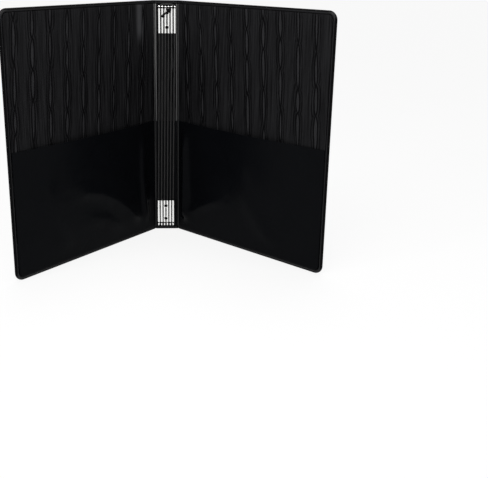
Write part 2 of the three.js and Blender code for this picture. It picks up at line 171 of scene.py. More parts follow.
def make_camera():
    data = bpy.data.cameras.new("camera")
    data.sensor_width = SENSOR_WIDTH
    data.lens = SENSOR_WIDTH * FOCAL_PIXELS / PHOTO_WIDTH
    data.shift_x = (PHOTO_WIDTH / 2 - PRINCIPAL_POINT[0]) / PHOTO_WIDTH
    data.shift_y = (PRINCIPAL_POINT[1] - PHOTO_HEIGHT / 2) / PHOTO_WIDTH
    camera = add_object("camera", data)
    ahead = Vector((math.sin(CAMERA_YAW), math.cos(CAMERA_YAW), 0))
    forward = ahead * math.cos(CAMERA_PITCH) - Vector((0, 0, math.sin(CAMERA_PITCH)))
    level = Vector((math.cos(CAMERA_YAW), -math.sin(CAMERA_YAW), 0))
    upright = level.cross(forward)
    right = level * math.cos(CAMERA_ROLL) + upright * math.sin(CAMERA_ROLL)
    up = upright * math.cos(CAMERA_ROLL) - level * math.sin(CAMERA_ROLL)
    turn = Matrix((right, up, -forward)).transposed().to_4x4()
    spine_face = Vector((SPINE_MIDDLE.x, SPINE_MIDDLE.y - MID_DEPTH, 0))
    camera.matrix_world = Matrix.Translation(spine_face + CAMERA_PLACE) @ turn
    bpy.context.scene.camera = camera


make_camera()


# Materials


class Value:
    """A number or a place worked out in a shader, with plain sums on it."""

    def __init__(self, node, output=0):
        self.tree = node.id_data
        self.socket = node.outputs[output]

    def take(self, operation, *others):
        inputs = dict(enumerate((self, *others)))
        return Value(add_node(self.tree, "Math", inputs, operation=operation))

    def __add__(self, other):
        return self.take("ADD", other)

    def __sub__(self, other):
        return self.take("SUBTRACT", other)

    def __mul__(self, other):
        return self.take("MULTIPLY", other)

    def __truediv__(self, other):
        return self.take("DIVIDE", other)

    def __abs__(self):
        return self.take("ABSOLUTE")


def add_node(tree, kind, inputs, **settings):
    """A shader node with its settings and its inputs, each a constant or another node's value."""
    node = tree.nodes.new(f"ShaderNode{kind}")
    for name, value in settings.items():
        setattr(node, name, value)
    for name, value in inputs.items():
        if isinstance(value, Value):
            tree.links.new(value.socket, node.inputs[name])
        else:
            node.inputs[name].default_value = value
    return node


def spread(value, low, high, to_low, to_high, smooth=False):
    """The value taken from one range to another, and held within it."""
    ranges = {"From Min": low, "From Max": high, "To Min": to_low, "To Max": to_high}
    kind = "SMOOTHSTEP" if smooth else "LINEAR"
    return Value(add_node(value.tree, "MapRange", {"Value": value, **ranges}, interpolation_type=kind))


def blend_colour(factor, dark, light):
    inputs = {0: factor, 6: (*dark, 1), 7: (*light, 1)}
    return Value(add_node(factor.tree, "Mix", inputs, data_type="RGBA"), 2)


def object_place(tree):
    return Value(add_node(tree, "TexCoord", {}), "Object")


def flat_place(tree):
    """The place on the flat sheet, in metres."""
    return Value(add_node(tree, "UVMap", {}))


def parts(place):
    """How far across and how far along a flat place is."""
    split = add_node(place.tree, "SeparateXYZ", {"Vector": place})
    return Value(split, 0), Value(split, 1)


def noise(place, scale, detail=2.0, roughness=0.5):
    inputs = {"Vector": place, "Scale": scale, "Detail": detail, "Roughness": roughness}
    return Value(add_node(place.tree, "TexNoise", inputs))


def streaks(place, scales, detail, roughness=0.5):
    """Noise with a scale of its own along each axis."""
    stretched = Value(add_node(place.tree, "Mapping", {"Vector": place, "Scale": scales}))
    return noise(stretched, 1.0, detail, roughness)


def start_material(name, **constants):
    """A new material with constants on its shader, and its node tree and shader."""
    material = bpy.data.materials.new(name)
    material.use_nodes = True
    tree = material.node_tree
    shader = tree.nodes["Principled BSDF"]
    for socket, value in constants.items():
        shader.inputs[socket.replace("_", " ")].default_value = value
    return material, tree, shader


def finish_material(shader, colour, roughness, height, strength, distance):
    """Joins colour, roughness and a bump of so much strength and depth to the shader."""
    tree = shader.id_data
    bump = add_node(tree, "Bump", {"Height": height, "Strength": strength, "Distance": distance})
    tree.links.new(colour.socket, shader.inputs["Base Color"])
    tree.links.new(roughness.socket, shader.inputs["Roughness"])
    tree.links.new(bump.outputs[0], shader.inputs["Normal"])


def leatherette_material(name, gloss, colours):
    """Fine grain: small cells with creases between them, uneven over larger patches."""
    material, tree, shader = start_material(name, Specular_IOR_Level=gloss)
    place = object_place(tree)
    cells = add_node(tree, "TexVoronoi", {"Vector": place, "Scale": 1100.0}, feature="DISTANCE_TO_EDGE")
    height = spread(Value(cells, "Distance"), 0.0, 0.35, 0.0, 1.0) + noise(place, 2600.0, 3.0) * 0.6
    broad = noise(place, 35.0, 3.0)
    roughness = spread(broad, 0.3, 0.7, 0.40, 0.50)
    finish_material(shader, blend_colour(broad, *colours), roughness, height, 0.35, 0.00012)
    return material


# The moire's figure: places across are outward from the middle of the spine, left of it below zero
COLUMN_PITCH = 0.0241
COLUMN_PHASE = 0.62
LEAN = 0.05
LEAN_FROM = 0.22
SWAY = 0.0014
LENS_LENGTH = 0.040
LENS_HALF_WIDTH = 0.0025
LENS_BLUNTNESS = 0.45
LENS_SHIFT = 7.0
LENS_STRAY = 1.3
OUTLINE_WIDTH = 0.0012
SECOND_OUTLINE = 0.0034
RAGGEDNESS = 0.0009
# What each part of the figure adds to its shade
PLAIN_SHADE = 0.34
CORE_SHADE = 0.50
OUTLINE_SHADE = -1.3
SECOND_SHADE = -0.4
GRAIN_SHADE = 1.7
PAINTED_SHEEN_SHADE = 1.9
# Painted highlight: a lighter streak painted into the lining's colour near the top of the left cover
PAINTED_SHEEN_PLACE = -(HALF_SPINE + 0.027)
PAINTED_SHEEN_HALF_WIDTH = 0.0075
PAINTED_SHEEN_FOOT = 0.248
PAINTED_SHEEN_HEAD = 0.275


def moire_material():
    """Upright columns of watered figure, each a chain of slim lenses in dark outlines, over fine grain."""
    material, tree, shader = start_material("moire", Specular_IOR_Level=0.045)
    place = flat_place(tree)
    across, along = parts(place)
    lean = (along - LEAN_FROM) * across.take("SIGN")
    upright = across + lean * LEAN + streaks(place, (34, 40, 1), 3.0) * SWAY
    columns = upright / COLUMN_PITCH + COLUMN_PHASE
    column = columns.take("ROUND")
    offset = abs(columns - column) * COLUMN_PITCH
    chance = Value(add_node(tree, "TexWhiteNoise", {"W": column}, noise_dimensions="1D"), "Value")
    stray = streaks(place, (41, 15, 1), 1.0) * LENS_STRAY
    turns = along / LENS_LENGTH + chance * LENS_SHIFT + stray
    wave = abs((turns * math.pi).take("SINE"))
    breadth = spread(streaks(place, (41, 9, 1), 0.0), 0.3, 0.7, 0.9, 1.2)
    half = wave.take("POWER", LENS_BLUNTNESS) * LENS_HALF_WIDTH * breadth
    edge = offset + streaks(place, (900, 90, 1), 2.0) * RAGGEDNESS - half
    core = spread(edge, -0.0004, 0.0005, 1.0, 0.0, smooth=True)
    outline = spread(abs(edge), 0.0003, OUTLINE_WIDTH, 1.0, 0.0, smooth=True)
    second = spread(abs(edge - SECOND_OUTLINE), 0.0, OUTLINE_WIDTH, 1.0, 0.0, smooth=True)
    vigour = spread(streaks(place, (60, 20, 1), 2.0), 0.3, 0.6, 0.6, 1.0)
    grain = streaks(place, (520, 13, 1), 4.0, 0.65) - 0.5
    # Painted highlight: the lining's colour is lighter in a streak near the top of the left cover
    beside = spread(abs(across - PAINTED_SHEEN_PLACE), 0.0, PAINTED_SHEEN_HALF_WIDTH, 1.0, 0.0, smooth=True)
    painted_sheen = beside * spread(along, PAINTED_SHEEN_FOOT, PAINTED_SHEEN_HEAD, 0.0, 1.0, smooth=True)
    shade = core * CORE_SHADE + PLAIN_SHADE
    shade = shade + (outline * OUTLINE_SHADE + second * SECOND_SHADE) * vigour
    shade = shade + grain * GRAIN_SHADE + painted_sheen * PAINTED_SHEEN_SHADE
    colour = blend_colour(spread(shade, 0.0, 2.0, 0.0, 1.0), *MOIRE_COLOURS)
    roughness = spread(shade, 0.0, 1.0, 0.62, 0.42)
    finish_material(shader, colour, roughness, shade, 0.25, 0.0001)
    return material


def hinge_strip_material():
    """The glossy strip rolled along each side of the spine's lining, with a painted highlight in its
    colour: lighter towards the top and on the left side.
    """
    material, tree, shader = start_material("hinge_strip", Specular_IOR_Level=0.7)
    place = flat_place(tree)
    across, along = parts(place)
    ripple = streaks(place, (500, 22, 1), 3.0)
    # Painted highlight: the colour is lighter towards the top and on the left side
    highlight_by_side = spread(across, -0.01, 0.01, 1.0, 0.3)
    highlight_towards_top = spread(along, 0.15, 0.29, 0.0, 1.0)
    uneven = spread(ripple, 0.2, 0.8, 0.7, 1.0)
    colour = blend_colour(highlight_towards_top * highlight_by_side * uneven, *HINGE_AND_HIGHLIGHT_COLOURS)
    roughness = spread(ripple, 0.3, 0.7, 0.28, 0.38)
    finish_material(shader, colour, roughness, ripple, 0.3, 0.0004)
    return material


def vinyl_material(name, gloss):
    """Smooth sheet with a slight broad unevenness, which bends its reflections."""
    material, tree, shader = start_material(name, Specular_IOR_Level=gloss)
    place = flat_place(tree)
    broad = noise(place, 24.0)
    height = noise(place, 1800.0) * 0.02 + broad
    roughness = spread(broad, 0.3, 0.7, 0.25, 0.32)
    finish_material(shader, blend_colour(broad, *VINYL_COLOURS), roughness, height, 0.18, 0.0012)
    return material


def nickel_material():
    """Bright plating with faint marks drawn along the ribs."""
    material, tree, shader = start_material("nickel", Metallic=1.0)
    place = object_place(tree)
    drawn = streaks(place, (2500, 2500, 60), 3.0)
    colour = blend_colour(noise(place, 90.0), *NICKEL_COLOURS)
    roughness = spread(drawn, 0.3, 0.7, 0.20, 0.30)
    finish_material(shader, colour, roughness, drawn, 0.12, 0.00005)
    return material


def mottled_material(name, colours, scales, detail, roughness, relief, **constants):
    """One noise sets the colour, the roughness and the relief."""
    material, tree, shader = start_material(name, **constants)
    mottle = streaks(object_place(tree), scales, detail)
    rough = spread(mottle, 0.2, 0.8, *roughness)
    finish_material(shader, blend_colour(mottle, *colours), rough, mottle, *relief)
    return material


BRAID_TURNS = 8
BRAID_PITCH = 0.0022


def elastic_material(name, gloss, colours):
    """A braided sleeve: two sets of strands that cross as diamonds. The map is round it and along it."""
    material, tree, shader = start_material(name, Specular_IOR_Level=gloss)
    around, along = parts(flat_place(tree))
    around = around * (BRAID_TURNS / 2)
    along = along / BRAID_PITCH
    one, other = ((phase * math.tau).take("SINE") for phase in (around + along, around - along))
    fuzz = noise(object_place(tree), 3000.0, 3.0)
    shade = one.take("MAXIMUM", other) * 0.35 + fuzz * 0.6
    colour = blend_colour(spread(shade, -0.2, 0.8, 0.0, 1.0), *colours)
    roughness = spread(fuzz, 0.2, 0.8, 0.55, 0.75)
    finish_material(shader, colour, roughness, shade, 0.6, 0.0001)
    return material


FLOOR_GLOW = 0.86


def seen_directly(tree):
    """1 for a ray from the camera or off gloss or through glass, else 0."""
    rays = add_node(tree, "LightPath", {})
    seen = Value(rays, "Is Camera Ray")
    for name in ("Is Glossy Ray", "Is Transmission Ray"):
        seen = seen.take("MAXIMUM", Value(rays, name))
    return seen


def floor_material():
    """Pale and matt; part of what is seen of it is a plain glow, so that it stays pale far away."""
    material = mottled_material(
        "floor", FLOOR_COLOURS, (6, 6, 6), 2.0, (0.8, 0.9), (0.02, 0.001), Specular_IOR_Level=0.1
    )
    tree = material.node_tree
    matt = Value(tree.nodes["Principled BSDF"])
    glow = Value(add_node(tree, "Emission", {}))
    mix = add_node(tree, "MixShader", {0: seen_directly(tree) * FLOOR_GLOW, 1: matt, 2: glow})
    tree.links.new(mix.outputs[0], tree.nodes["Material Output"].inputs["Surface"])
    return material


LEATHERETTE = leatherette_material("leatherette", 0.18, LEATHER_COLOURS)
SHADED_EDGE = leatherette_material("edge_painted_shade", 0.03, EDGE_SHADE_COLOURS)
MOIRE = moire_material()
HINGE_STRIP = hinge_strip_material()
VINYL = vinyl_material("smooth_vinyl", 0.028)
VINYL_ROLL = vinyl_material("vinyl_roll", 0.35)
NICKEL = nickel_material()
# Painted shade: the plating between the ribs, darker and rougher, and the inside of a rivet's bore, painted
# dark where shade falls
VALLEY_SHADE = mottled_material(
    "nickel_valley_painted_shade", VALLEY_SHADE_COLOURS, (900, 900, 120), 3.0, (0.35, 0.55), (0.2, 0.00005), Metallic=1.0
)
BORE_SHADE = mottled_material(
    "rivet_bore_painted_shade", BORE_SHADE_COLOURS, (900, 900, 900), 3.0, (0.55, 0.8), (0.3, 0.0001), Specular_IOR_Level=0.05
)
ELASTIC = elastic_material("elastic", 0.3, ELASTIC_COLOURS)
KNOT_SHADE_ELASTIC = elastic_material("elastic_knot_painted_shade", 0.04, KNOT_SHADE_COLOURS)
BOARD = mottled_material(
    "board", BOARD_COLOURS, (900, 900, 300), 4.0, (0.8, 0.95), (0.3, 0.0002), Specular_IOR_Level=0.2
)


# Flat places and bends


def eased(share):
    """A share from 0 to 1 that starts and ends gently."""
    return share**2 * (3 - 2 * share)


def bend(side, flat, softness=FOLD_SOFTNESS):
    """Row-frame places of flat points, turned about the fold from its near edge to its far edge."""
    s, depth, z = np.asarray(flat, float).T
    share = np.clip((s - HALF_SPINE + softness) / (2 * softness), 0, 1)
    angle = OPENING[side] * eased(share)
    outward = s - HALF_SPINE
    behind = depth - MID_DEPTH
    x = HALF_SPINE + outward * np.cos(angle) + behind * np.sin(angle)
    y = behind * np.cos(angle) - outward * np.sin(angle)
    return np.column_stack([SPINE_MIDDLE.x + side * x, SPINE_MIDDLE.y + y, z])


def squeezed(s, depth, share=GROOVE_SQUEEZE):
    """The depth with the sheets drawn together at the fold."""
    away = np.abs(s - HALF_SPINE)
    ramp = np.clip((GROOVE_EDGE - away) / (GROOVE_EDGE - GROOVE_FLAT), 0, 1)
    pinch = share * (0.5 - 0.5 * np.cos(np.pi * ramp))
    return MID_DEPTH + (depth - MID_DEPTH) * (1 - pinch)


def steps(start, end, step):
    return np.linspace(start, end, max(2, int(round(abs(end - start) / step)) + 1))


# Stations across the spine between its folds, and across a fold
SPINE_STEP = 0.002
FOLD_STEP = 0.0004
SPINE_STATIONS = steps(-FOLD_START, FOLD_START, SPINE_STEP)
FOLD_STATIONS = steps(FOLD_START, FOLD_END, FOLD_STEP)

WELD_DISTANCE = 1e-7
SHEET_SHARP = math.radians(40)


def make_object(name, points, faces, uvs, material, sharp=SHEET_SHARP):
    """A smooth mesh object with one place in the material's map for each vertex."""
    mesh = bpy.data.meshes.new(name)
    mesh.from_pydata([tuple(p) for p in points], [], [tuple(f) for f in faces])
    work = bmesh.new()
    work.from_mesh(mesh)
    layer = work.loops.layers.uv.new("UVMap")
    work.verts.ensure_lookup_table()
    for face in work.faces:
        face.smooth = True
        for loop in face.loops:
            loop[layer].uv = uvs[loop.vert.index]
    bmesh.ops.remove_doubles(work, verts=work.verts, dist=WELD_DISTANCE)
    bmesh.ops.recalc_face_normals(work, faces=work.faces)
    work.to_mesh(mesh)
    work.free()
    mesh.set_sharp_from_angle(angle=sharp)
    mesh.materials.append(material)
    return add_object(name, mesh)


def bent_object(name, side, flat, faces, material, softness=FOLD_SOFTNESS):
    """An object from flat points, whose map is the flat sheet."""
    flat = np.asarray(flat, float)
    uvs = np.column_stack([side * flat[:, 0], flat[:, 2]])
    return make_object(name, bend(side, flat, softness), faces, uvs, material)


def dress_faces(piece, material, chosen):
    """Gives a second material to the faces that are chosen."""
    piece.data.materials.append(material)
    for polygon in piece.data.polygons:
        if chosen(polygon):
            polygon.material_index = 1


def finish_piece(piece, body=None, stands_for=()):
    if stands_for:
        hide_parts(*stands_for)
    if body:
        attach(piece, body)


def grid_faces(rows, columns, first=0, flip=False):
    faces = []
    for i in range(rows - 1):
        for j in range(columns - 1):
            a = first + i * columns + j
            quad = [a, a + 1, a + columns + 1, a + columns]
            faces.append(quad[::-1] if flip else quad)
    return faces


def ring_faces(rings, count, closed=False):
    """Faces from each ring of so many points to the next, and from the last to the first if closed."""
    faces = []
    for k in range(rings if closed else rings - 1):
        here, there = k * count, (k + 1) % rings * count
        for i in range(count):
            beside = (i + 1) % count
            faces.append([here + i, here + beside, there + beside, there + i])
    return faces


def end_caps(rings, count):
    """The faces that close the first and the last ring."""
    return [list(range(count))[::-1], list(range((rings - 1) * count, rings * count))]


def add_part(points, faces, more, more_faces):
    """Adds a further part's points and faces to those so far."""
    faces += [[len(points) + v for v in face] for face in more_faces]
    points += more


def border(rows, columns):
    """Indices round the edge of a grid, in order."""
    top = list(range(columns))
    right = [i * columns + columns - 1 for i in range(1, rows)]
    bottom = [(rows - 1) * columns + j for j in range(columns - 2, -1, -1)]
    left = [i * columns for i in range(rows - 2, 0, -1)]
    return top + right + bottom + left


def slab(name, side, s_values, z_values, surfaces, material, softness, corners=()):
    """A closed sheet between a front and a back surface over a grid of s and z, with round corners."""
    s, z = (a.ravel() for a in np.meshgrid(s_values, z_values, indexing="ij"))
    edge_s, edge_z = round_corners(s, z, corners)
    flat = np.vstack([np.column_stack([edge_s, depth(s, z), edge_z]) for depth in surfaces])
    rows, columns, count = len(s_values), len(z_values), len(s)
    faces = grid_faces(rows, columns) + grid_faces(rows, columns, first=count, flip=True)
    ring = border(rows, columns)
    for a, b in zip(ring, ring[1:] + ring[:1]):
        faces.append([b, a, count + a, count + b])
    return bent_object(name, side, flat, faces, material, softness)


def round_corners(s, z, corners):
    """Draws the points of each corner's square onto a quarter of a disc about the corner's centre."""
    s, z = s.copy(), z.copy()
    for centre_s, centre_z, radius, upward in corners:
        a = (s - centre_s) / radius
        b = upward * (z - centre_z) / radius
        inside = (a > 0) & (b > 0)
        new_s = centre_s + radius * a * np.sqrt(np.clip(1 - b**2 / 2, 0, 1))
        new_z = centre_z + upward * radius * b * np.sqrt(np.clip(1 - a**2 / 2, 0, 1))
        s = np.where(inside, new_s, s)
        z = np.where(inside, new_z, z)
    return s, z


# Leatherette

FACE_STEP = 0.006
CORNER_STEPS = 10
BEAD_TURN = math.radians(318)
BEAD_STEPS = 24
# The skin on both sides of the rim's bead, as inset and depth: it rises to the bead inside, and outside it
# leaves the groove of the weld
INNER_RISE = [(0.0052, SKIN_FRONT), (0.0046, 0.0029), (0.0044, 0.0025)]
OUTER_GROOVE = [(0.0043, 0.0035), (0.0048, 0.0035), (0.0056, 0.0038), (0.0066, 0.0041), (0.0080, DEPTH)]


def rim_profile():
    """The skin's section across its rim, as inset and depth, from the inner face round the bead."""
    turns = np.linspace(0, BEAD_TURN, BEAD_STEPS)
    bead = [(RIM_RADIUS * (1 + math.cos(a)), MID_DEPTH - RIM_RADIUS * math.sin(a)) for a in turns]
    inner = [(CORNER_RADIUS, SKIN_FRONT), *INNER_RISE]
    outer = [*OUTER_GROOVE, (CORNER_RADIUS, DEPTH)]
    return inner + bead + outer


def cover_ring(inset, depth, s_values, z_values):
    """Points round a cover's bottom, outer and top edges at one inset and depth."""
    radius = CORNER_RADIUS - inset
    centre = COVER_END - CORNER_RADIUS
    turns = np.linspace(0, math.pi / 2, CORNER_STEPS + 1)[1:-1]
    low = [(s, depth, inset) for s in s_values]
    for a in turns:
        low.append((centre + radius * math.sin(a), depth, CORNER_RADIUS - radius * math.cos(a)))
    side = [(COVER_END - inset, depth, z) for z in z_values]
    high = [(s, y, HEIGHT - z) for s, y, z in reversed(low)]
    return low + side + high


def cover_leatherette(side):
    s_values = steps(FOLD_END, COVER_END - CORNER_RADIUS, FACE_STEP)
    z_values = steps(CORNER_RADIUS, HEIGHT - CORNER_RADIUS, FACE_STEP)
    rings = [cover_ring(d, y, s_values, z_values) for d, y in rim_profile()]
    count = len(rings[0])
    flat = [point for ring in rings for point in ring]
    faces = grid_faces(len(rings), count)
    for depth, flip in ((SKIN_FRONT, False), (DEPTH, True)):
        faces += grid_faces(len(s_values), len(z_values), first=len(flat), flip=flip)
        flat += [(s, depth, z) for s in s_values for z in z_values]
    piece = bent_object(f"{SIDE_NAMES[side]}_cover_leatherette", side, flat, faces, LEATHERETTE)
    fill_open_end(piece)
    return piece


def fill_open_end(piece):
    """Closes the piece where it is cut off."""
    work = bmesh.new()
    work.from_mesh(piece.data)
    edges = [e for e in work.edges if e.is_boundary]
    bmesh.ops.holes_fill(work, edges=edges, sides=0)
    bmesh.ops.recalc_face_normals(work, faces=work.faces)
    work.to_mesh(piece.data)
    work.free()


def section_loop():
    """The skin's section at a fold or the spine, as depth and z, once round."""
    low = [(y, d) for d, y in rim_profile()]
    z_values = steps(CORNER_RADIUS, HEIGHT - CORNER_RADIUS, FACE_STEP)[1:-1]
    outer = [(DEPTH, z) for z in z_values]
    high = [(y, HEIGHT - z) for y, z in reversed(low)]
    inner = [(SKIN_FRONT, z) for z in z_values[::-1]]
    return low + outer + high + inner


def strip_leatherette(name, side, s_values):
    """A length of skin across the spine or a fold, squeezed where it is welded at the fold."""
    loop = section_loop()
    flat = [(s, float(squeezed(s, y)), z) for s in s_values for y, z in loop]
    faces = ring_faces(len(s_values), len(loop))
    piece = bent_object(name, side, flat, faces, LEATHERETTE)
    fill_open_end(piece)
    return piece


def blend_at_fold(piece, side, depth, softness):
    """Works out where the fold's two edges lie, though nothing uses them, and bakes the piece's transform
    into its mesh.
    """
    edges = [(HALF_SPINE - softness, depth, 0), (HALF_SPINE + softness, depth, 0)]
    start, end = bend(side, edges, softness)
    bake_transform(piece)


EDGE_WIDTH = 0.0017


def shade_edge(piece):
    """Gives the skin's outermost edge a darker colour, painted shade along the outer side of the rim's
    bead, and less gloss.
    """
    places = piece.data.uv_layers[0].data

    def at_edge(polygon):
        around = [places[i].uv for i in polygon.loop_indices]
        insets = [min(uv.y, HEIGHT - uv.y, COVER_END - abs(uv.x)) for uv in around]
        return sum(insets) / len(insets) < EDGE_WIDTH

    dress_faces(piece, SHADED_EDGE, at_edge)


def make_leatherette():
    spine = strip_leatherette("spine_leatherette", RIGHT, SPINE_STATIONS)
    finish_piece(spine, "spine", ["spine_skin"])
    shade_edge(spine)
    for side, name in SIDE_NAMES.items():
        cover = cover_leatherette(side)
        finish_piece(cover, f"{name}_cover", [f"{name}_cover_skin"])
        shade_edge(cover)
        fold = strip_leatherette(f"{name}_fold_leatherette", side, FOLD_STATIONS)
        finish_piece(fold)
        shade_edge(fold)
        blend_at_fold(fold, side, MID_DEPTH, FOLD_SOFTNESS)


# Lining

EDGE_ROLL = 0.0008
EDGE_SINK = 0.0002
EDGE_DEPTH = 0.0017
LINING_STEP = 0.0025
LINING_ROW = 0.005
LINING_BLEND_DEPTH = 0.0014
STRIP_START = HALF_SPINE - 0.0038
SWELL_PLACE = HALF_SPINE - 0.0027
SWELL_HALF_WIDTH = 0.0018
SWELL_HEIGHT = 0.0011
SWELL_FOOT = 0.001
# Round corners, as the centre's s and z, the radius, and 1 for up or -1 for down
HIGH_CORNER = (PANEL_END - PANEL_RADIUS, HEIGHT - PANEL_INSET - PANEL_RADIUS, PANEL_RADIUS, 1)
LOW_CORNER = (PANEL_END - PANEL_RADIUS, PANEL_INSET + PANEL_RADIUS, PANEL_RADIUS, -1)


def margin_swell(s, z):
    """How far the sheets swell beside each fold, on the spine."""
    grown = np.clip(z / SWELL_FOOT, 0, 1)
    return SWELL_HEIGHT * np.exp(-(((np.abs(s) - SWELL_PLACE) / SWELL_HALF_WIDTH) ** 2)) * grown


def edge_distance(s, z, top):
    """How far a point lies from the panel's bottom, top and outer edges."""
    return np.minimum(np.minimum(z - PANEL_INSET, top - z), PANEL_END - s)


def rolled(distance):
    """How far a sheet sinks into the weld beside its edge."""
    return EDGE_SINK * eased(np.clip(1 - distance / EDGE_ROLL, 0, 1))


def lining_front(s, z):
    sunk = rolled(edge_distance(s, z, HEIGHT - PANEL_INSET))
    return squeezed(s, sunk - margin_swell(s, z))


def lining_back(s, z):
    distance = edge_distance(s, z, HEIGHT - PANEL_INSET)
    turned_under = np.where(distance < EDGE_ROLL / 8, EDGE_DEPTH, 0)
    return squeezed(s, LINING_THICKNESS + rolled(distance) + turned_under)


def edged_steps(start, end, step, low_edge=True, high_edge=True):
    """Steps across a sheet, close together in the roll beside each edge asked for."""
    low = steps(start, start + EDGE_ROLL, EDGE_ROLL / 4)[:-1] if low_edge else []
    high = steps(end - EDGE_ROLL, end, EDGE_ROLL / 4)[1:] if high_edge else []
    first = start + EDGE_ROLL if low_edge else start
    last = end - EDGE_ROLL if high_edge else end
    return np.concatenate([low, steps(first, last, step), high])


def add_roll(fold, material, start, end):
    """Gives a glossier material to the roll along a fold."""
    places = fold.data.uv_layers[0].data

    def on_roll(polygon):
        return all(start < abs(places[i].uv.x) < end for i in polygon.loop_indices)

    dress_faces(fold, material, on_roll)


def lining_sheet(name, side, s_values, z_values, corners=()):
    surfaces = (lining_front, lining_back)
    return slab(name, side, s_values, z_values, surfaces, MOIRE, FOLD_SOFTNESS, corners)


def dress_sheet(look, stands_for, sheet, z_values, step, corners, roll, blend):
    """One sheet over the spine, both folds and both covers, standing for a node on each of them."""
    on_spine, on_cover = stands_for
    spine = sheet(f"spine_{look}", RIGHT, SPINE_STATIONS, z_values)
    finish_piece(spine, "spine", [on_spine])
    for side, name in SIDE_NAMES.items():
        s_values = edged_steps(FOLD_END, PANEL_END, step, low_edge=False)
        cover = sheet(f"{name}_cover_{look}", side, s_values, z_values, corners)
        finish_piece(cover, f"{name}_cover", [f"{name}_{on_cover}"])
        fold = sheet(f"{name}_fold_{look}", side, FOLD_STATIONS, z_values)
        add_roll(fold, *roll)
        finish_piece(fold)
        blend_at_fold(fold, side, *blend)


def make_lining():
    dress_sheet(
        "moire",
        ("spine_lining", "cover_lining"),
        lining_sheet,
        edged_steps(PANEL_INSET, HEIGHT - PANEL_INSET, LINING_ROW),
        LINING_STEP,
        corners=(HIGH_CORNER, LOW_CORNER),
        roll=(HINGE_STRIP, STRIP_START, HALF_SPINE),
        blend=(LINING_BLEND_DEPTH, FOLD_SOFTNESS),
    )


# Pockets


def pocket_rise(s, z):
    """How far the pocket stands off its seams, from nothing at three sides to the mouth at the top."""
    width = COVER_WIDTH - PANEL_INSET - POCKET_START - 2 * POCKET_SEAM
    along = np.clip((s - HALF_SPINE - POCKET_START - POCKET_SEAM) / width, 0, 1)
    up = np.clip((z - PANEL_INSET - POCKET_SEAM) / (POCKET_TOP - PANEL_INSET - POCKET_SEAM), 0, 1)
    return POCKET_MOUTH * np.sin(np.pi * along) * up**POCKET_FULLNESS


# Each crease of a pocket: a line of points out from the fold and up, its half-width and its height
LONG_CREASE = [
    (0.155, 0.086), (0.1215, 0.0826), (0.1006, 0.0762), (0.0757, 0.0621), (0.055, 0.0447), (0.025, 0.01)
]
UPRIGHT_CREASE = [(0.0265, 0.145), (0.0265, 0.0834), (0.0226, 0.0477), (0.0184, 0.0)]
LOW_CREASE = [(0.14, 0.052), (0.095, 0.038), (0.05, 0.005)]
OUTER_CREASE = [(0.145, 0.0), (0.175, 0.06), (0.19, 0.125)]
FOLD_CREASE = [(0.0105, 0.15), (0.0115, 0.0729), (0.015, 0.0)]
SLANT_CREASE = [(0.09, 0.064), (0.0624, 0.0533), (0.0436, 0.0434), (0.026, 0.0309), (0.005, 0.005)]
MIDDLE_CREASE = [(0.17, 0.005), (0.125, 0.06), (0.1, 0.125)]
CREASES = {
    LEFT: [
        (LONG_CREASE, 0.0085, 0.0028),
        (UPRIGHT_CREASE, 0.0055, 0.0030),
        (LOW_CREASE, 0.0090, 0.0013),
        (OUTER_CREASE, 0.0130, 0.0014),
    ],
    RIGHT: [
        (FOLD_CREASE, 0.0092, 0.0062),
        (SLANT_CREASE, 0.0070, 0.0024),
        (MIDDLE_CREASE, 0.0120, 0.0014),
    ],
}
CREASE_END = 0.030
CREASE_HOLD = 0.008
CREASE_FOOT = 0.024
POCKET_STEP = 0.002
POCKET_SINK = 1.4
ROLL_START = HALF_SPINE - 0.0008
ROLL_END = HALF_SPINE + 0.0032


def crease(outward, z, line, width, height):
    """A soft ridge along a line, dying away at its ends."""
    nearest = np.full(np.shape(outward), np.inf)
    for (a_s, a_z), (b_s, b_z) in zip(line, line[1:]):
        length = math.hypot(b_s - a_s, b_z - a_z)
        t = ((outward - a_s) * (b_s - a_s) + (z - a_z) * (b_z - a_z)) / length**2
        t = np.clip(t, 0, 1)
        gap = np.hypot(outward - a_s - t * (b_s - a_s), z - a_z - t * (b_z - a_z))
        nearest = np.minimum(nearest, gap)
    ends = [np.hypot(outward - p[0], z - p[1]) for p in (line[0], line[-1])]
    fade = eased(np.clip(np.minimum(*ends) / CREASE_END, 0, 1))
    return height * np.exp(-((nearest / width) ** 2)) * fade


def creases(side, s, z):
    """The height of all of a pocket's creases, held down beside the fold and the bottom seam."""
    outward = np.abs(s) - HALF_SPINE
    total = sum(crease(outward, z, *form) for form in CREASES[side])
    beside = np.clip((outward - 2 * POCKET_START) / CREASE_HOLD, 0, 1)
    above = np.clip((z - PANEL_INSET - POCKET_SEAM) / CREASE_FOOT, 0, 1)
    return total * beside * eased(above)


def pocket_depth(side, depth, s, z):
    """The place in depth of one face of a pocket's sheet."""
    raised = margin_swell(s, z) + creases(side, s, z)
    sunk = POCKET_SINK * rolled(edge_distance(s, z, HEIGHT))
    return squeezed(s, depth + sunk - raised, POCKET_SQUEEZE) - pocket_rise(s, z)


def pocket_sheet(name, side, s_values, z_values, corners=()):
    surfaces = [partial(pocket_depth, side, depth) for depth in (POCKET_FRONT, POCKET_BACK)]
    return slab(name, side, s_values, z_values, surfaces, VINYL, POCKET_FOLD_SOFTNESS, corners)


def make_pockets():
    dress_sheet(
        "pocket_vinyl",
        ("spine_pocket_strip", "cover_pocket"),
        pocket_sheet,
        edged_steps(PANEL_INSET, POCKET_TOP, POCKET_STEP, high_edge=False),
        POCKET_STEP,
        corners=(LOW_CORNER,),
        roll=(VINYL_ROLL, ROLL_START, ROLL_END),
        blend=(POCKET_FRONT, POCKET_FOLD_SOFTNESS),
    )


# String plates: places are given across the plate, in front of its seat and inward from its outer end

